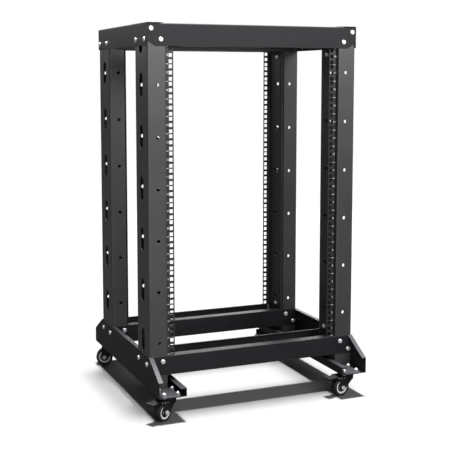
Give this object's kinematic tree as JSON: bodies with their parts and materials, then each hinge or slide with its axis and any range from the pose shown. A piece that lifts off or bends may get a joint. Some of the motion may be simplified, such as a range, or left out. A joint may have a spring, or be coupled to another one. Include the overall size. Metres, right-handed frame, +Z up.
{
  "type": "open-frame equipment rack",
  "caption": "Black steel open-frame 19-inch equipment rack with square-hole rails, slotted corner posts, U-channel beams and legs, and swivel casters with brake pedals.",
  "frame": {"origin": "on the floor under the middle of the rack's frame", "axes": "+Z up, -Y the front that the equipment slides in from, +X to the right seen from the front"},
  "size_m": [0.6315, 0.6087, 1.0131],
  "materials": {
    "frame_powder_coat": "fine-textured black powder coat",
    "rail_powder_coat": "fine-textured black powder coat",
    "zinc_bolts": "bright zinc plate",
    "zinc_nuts": "bright zinc plate",
    "axle_zinc": "bright zinc plate",
    "bearing_steel": "polished",
    "pin_steel": "bright steel",
    "caster_black": "satin black",
    "wheel_grey": "moulded light grey",
    "cap_black": "moulded black",
    "tyre_rubber": "matt black",
    "pedal_black": "moulded black"
  },
  "bodies": {
    "root": {"base_beam_bolts": "zinc_bolts", "base_beam_front": "frame_powder_coat", "base_beam_rear": "frame_powder_coat", "bearing_balls": "bearing_steel", "caster_bolts": "zinc_bolts", "caster_nuts": "zinc_nuts", "caster_plate_front_left": "caster_black", "caster_plate_front_right": "caster_black", "caster_plate_rear_left": "caster_black", "caster_plate_rear_right": "caster_black", "kingpins": "pin_steel", "leg_bolts": "zinc_bolts", "leg_left": "frame_powder_coat", "leg_right": "frame_powder_coat", "post_front_left": "frame_powder_coat", "post_front_right": "frame_powder_coat", "post_rear_left": "frame_powder_coat", "post_rear_right": "frame_powder_coat", "rack_rail_front_left": "rail_powder_coat", "rack_rail_front_right": "rail_powder_coat", "rack_rail_rear_left": "rail_powder_coat", "rack_rail_rear_right": "rail_powder_coat", "rail_screws": "zinc_bolts", "side_rail_bolts": "zinc_bolts", "side_rail_left": "frame_powder_coat", "side_rail_right": "frame_powder_coat", "top_beam_bolts": "zinc_bolts", "top_beam_front": "frame_powder_coat", "top_beam_rear": "frame_powder_coat", "weld_nuts": "zinc_nuts"},
    "swivel_front_left": {"fork_front_left": "caster_black", "axle_front_left": "axle_zinc", "brake_pin_front_left": "pin_steel", "brake_rivets_front_left": "pin_steel"},
    "wheel_front_left": {"wheel_core_front_left": "wheel_grey", "hub_caps_front_left": "cap_black", "tyre_front_left": "tyre_rubber"},
    "pedal_front_left": {"brake_pedal_front_left": "pedal_black"},
    "swivel_front_right": {"fork_front_right": "caster_black", "axle_front_right": "axle_zinc", "brake_pin_front_right": "pin_steel", "brake_rivets_front_right": "pin_steel"},
    "wheel_front_right": {"wheel_core_front_right": "wheel_grey", "hub_caps_front_right": "cap_black", "tyre_front_right": "tyre_rubber"},
    "pedal_front_right": {"brake_pedal_front_right": "pedal_black"},
    "swivel_rear_left": {"fork_rear_left": "caster_black", "axle_rear_left": "axle_zinc"},
    "wheel_rear_left": {"wheel_core_rear_left": "wheel_grey", "hub_caps_rear_left": "cap_black", "tyre_rear_left": "tyre_rubber"},
    "swivel_rear_right": {"fork_rear_right": "caster_black", "axle_rear_right": "axle_zinc"},
    "wheel_rear_right": {"wheel_core_rear_right": "wheel_grey", "hub_caps_rear_right": "cap_black", "tyre_rear_right": "tyre_rubber"}
  },
  "joints": [
    {"name": "swivel_front_left", "type": "hinge", "parent": "root", "child": "swivel_front_left", "pos_m": [-0.261, -0.263, 0.06], "axis": [0, 0, 1], "continuous": true},
    {"name": "roll_front_left", "type": "hinge", "parent": "swivel_front_left", "child": "wheel_front_left", "pos_m": [-0.2806, -0.27299, 0.025], "axis": [-0.454, 0.891, 0], "continuous": true},
    {"name": "brake_front_left", "type": "hinge", "parent": "swivel_front_left", "child": "pedal_front_left", "pos_m": [-0.29308, -0.27934, 0.053], "axis": [0.454, -0.891, 0], "range_deg": [0, 20]},
    {"name": "swivel_front_right", "type": "hinge", "parent": "root", "child": "swivel_front_right", "pos_m": [0.261, -0.263, 0.06], "axis": [0, 0, 1], "continuous": true},
    {"name": "roll_front_right", "type": "hinge", "parent": "swivel_front_right", "child": "wheel_front_right", "pos_m": [0.23927, -0.26644, 0.025], "axis": [-0.1564, 0.9877, 0], "continuous": true},
    {"name": "brake_front_right", "type": "hinge", "parent": "swivel_front_right", "child": "pedal_front_right", "pos_m": [0.22544, -0.26863, 0.053], "axis": [0.1564, -0.9877, 0], "range_deg": [0, 20]},
    {"name": "swivel_rear_left", "type": "hinge", "parent": "root", "child": "swivel_rear_left", "pos_m": [-0.261, 0.263, 0.06], "axis": [0, 0, 1], "continuous": true},
    {"name": "roll_rear_left", "type": "hinge", "parent": "swivel_rear_left", "child": "wheel_rear_left", "pos_m": [-0.28192, 0.2698, 0.025], "axis": [0.309, 0.9511, 0], "continuous": true},
    {"name": "swivel_rear_right", "type": "hinge", "parent": "root", "child": "swivel_rear_right", "pos_m": [0.261, 0.263, 0.06], "axis": [0, 0, 1], "continuous": true},
    {"name": "roll_rear_right", "type": "hinge", "parent": "swivel_rear_right", "child": "wheel_rear_right", "pos_m": [0.23975, 0.25731, 0.025], "axis": [-0.2588, 0.9659, 0], "continuous": true}
  ]
}
